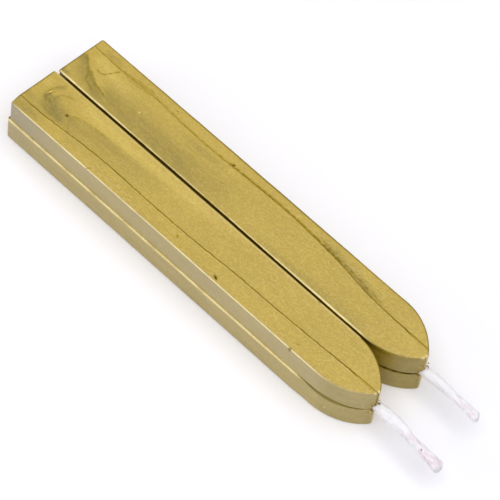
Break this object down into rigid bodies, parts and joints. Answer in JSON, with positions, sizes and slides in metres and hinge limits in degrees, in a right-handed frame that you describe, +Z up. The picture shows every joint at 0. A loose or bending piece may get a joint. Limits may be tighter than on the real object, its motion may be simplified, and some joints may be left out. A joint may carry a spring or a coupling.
{
  "type": "sealing wax stick pair",
  "caption": "Gold sealing wax sticks lying side by side: flat bars with a pointed nose, cast in halves round a cotton wick that stands out of the tip to be lit.",
  "frame": {"origin": "on the desk, at the bottom centre of the box round both sticks, wicks included", "axes": "+X along the sticks from the butt to the wick end, +Y from the front stick to the rear one, +Z up"},
  "size_m": [0.1064, 0.0234, 0.0102],
  "materials": {
    "wax": "satin gold sealing wax with a fine pearl and olive flow streaks",
    "wick": "twisted white cotton, lightly waxed"
  },
  "bodies": {
    "front_stick": {"front_upper_half": "wax", "front_lower_half": "wax", "front_wick_core": "wick"},
    "front_wick": {"front_wick_tail": "wick"},
    "rear_stick": {"rear_upper_half": "wax", "rear_lower_half": "wax", "rear_wick_core": "wick"},
    "rear_wick": {"rear_wick_tail": "wick"}
  },
  "joints": [
    {"name": "front_wick_bend", "type": "hinge", "parent": "front_stick", "child": "front_wick", "pos_m": [0.038, -0.00592, 0.0052], "axis": [0, -1, 0], "range_deg": [-12, 75]},
    {"name": "rear_stick_slide", "type": "slide", "parent": "front_stick", "child": "rear_stick", "axis": [0, 1, 0], "range_m": [0, 0.04]},
    {"name": "rear_wick_bend", "type": "hinge", "parent": "rear_stick", "child": "rear_wick", "pos_m": [0.03845, 0.00592, 0.0052], "axis": [0, -1, 0], "range_deg": [-12, 75]}
  ]
}
